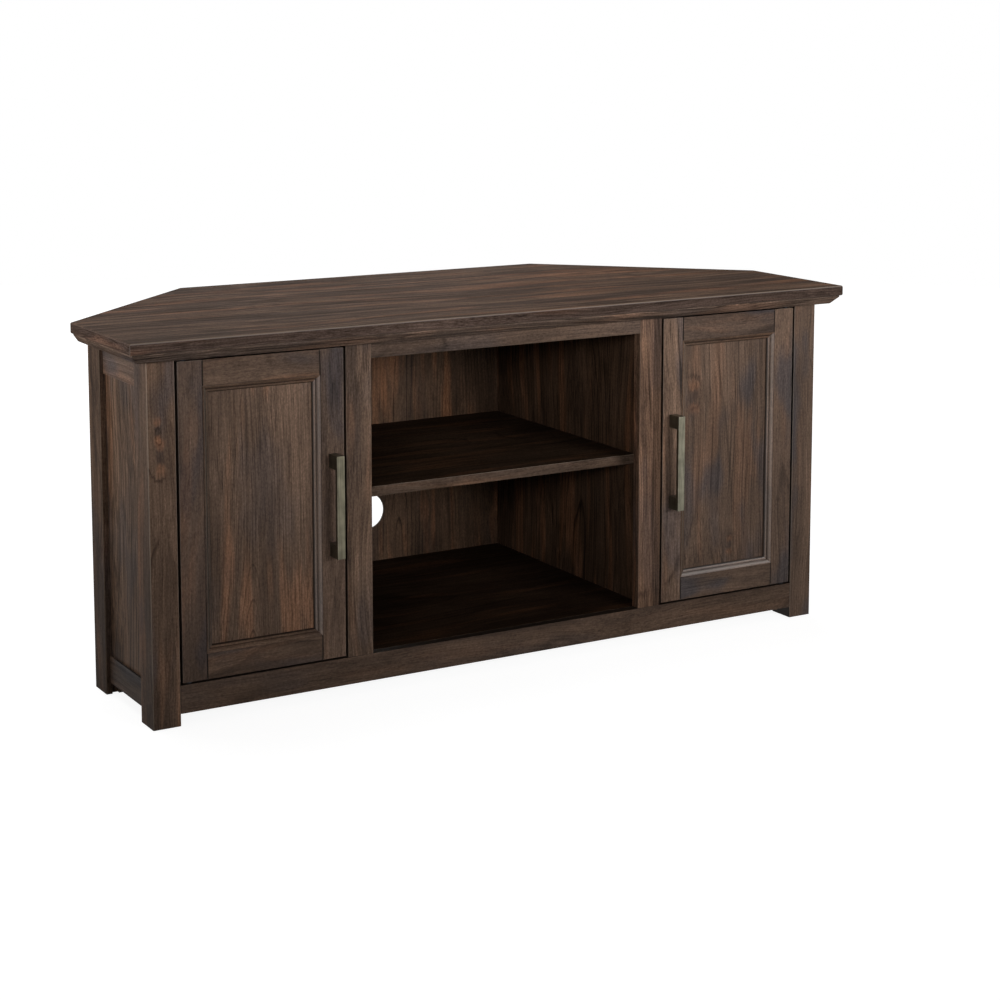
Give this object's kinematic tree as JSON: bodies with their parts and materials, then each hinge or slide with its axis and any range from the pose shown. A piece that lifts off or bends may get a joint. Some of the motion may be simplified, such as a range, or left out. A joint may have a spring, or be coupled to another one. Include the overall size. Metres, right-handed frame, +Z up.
{
  "type": "corner tv cabinet",
  "caption": "Low corner television cabinet with a six-sided top, an open bay with a shelf, and a framed door with a bar handle on each side.",
  "frame": {"origin": "on the floor, under the middle of the top board's outline", "axes": "+X to the right along the front, +Y from the doors to the back, +Z up"},
  "size_m": [1.2, 0.51, 0.542],
  "materials": {
    "top": "dark walnut stain, satin",
    "frame": "dark walnut stain, satin",
    "panel": "dark walnut stain, satin",
    "inside": "dark walnut stain, satin",
    "back": "dark walnut print on board",
    "handle": "antique, brushed",
    "steel": "zinc plated",
    "nylon": "moulded"
  },
  "bodies": {
    "cabinet": {"top_board": "top", "moulding_front": "frame", "front_rail_bottom": "frame", "front_rail_top": "frame", "bottom_board": "inside", "centre_shelf": "inside", "back_panel_centre": "back", "moulding_left": "frame", "leg_front_left": "frame", "leg_rear_left": "frame", "corner_post_left": "inside", "side_rail_top_left": "frame", "side_rail_bottom_left": "frame", "side_panel_left": "panel", "centre_stile_left": "frame", "divider_left": "inside", "side_shelf_left": "inside", "back_panel_left": "back", "catch_left": "nylon", "hinge_pin_left_lower": "steel", "hinge_pin_left_upper": "steel", "moulding_right": "frame", "leg_front_right": "frame", "leg_rear_right": "frame", "corner_post_right": "inside", "side_rail_top_right": "frame", "side_rail_bottom_right": "frame", "side_panel_right": "panel", "centre_stile_right": "frame", "divider_right": "inside", "side_shelf_right": "inside", "back_panel_right": "back", "catch_right": "nylon", "hinge_pin_right_lower": "steel", "hinge_pin_right_upper": "steel"},
    "door_left": {"door_left_hinge_stile": "frame", "door_left_lock_stile": "frame", "door_left_bottom_rail": "frame", "door_left_top_rail": "frame", "door_left_panel": "panel", "door_left_bead": "frame", "handle_left": "handle", "catch_plate_left": "steel", "handle_screw_left_lower": "steel", "handle_screw_left_upper": "steel", "hinge_bush_left_lower": "nylon", "hinge_bush_left_upper": "nylon"},
    "door_right": {"door_right_hinge_stile": "frame", "door_right_lock_stile": "frame", "door_right_bottom_rail": "frame", "door_right_top_rail": "frame", "door_right_panel": "panel", "door_right_bead": "frame", "handle_right": "handle", "catch_plate_right": "steel", "handle_screw_right_lower": "steel", "handle_screw_right_upper": "steel", "hinge_bush_right_lower": "nylon", "hinge_bush_right_upper": "nylon"}
  },
  "joints": [
    {"name": "door_left_hinge", "type": "hinge", "parent": "cabinet", "child": "door_left", "pos_m": [-0.512, -0.219, 0.285], "axis": [0, 0, -1], "range_deg": [0, 110]},
    {"name": "door_right_hinge", "type": "hinge", "parent": "cabinet", "child": "door_right", "pos_m": [0.512, -0.219, 0.285], "axis": [0, 0, 1], "range_deg": [0, 110]}
  ]
}
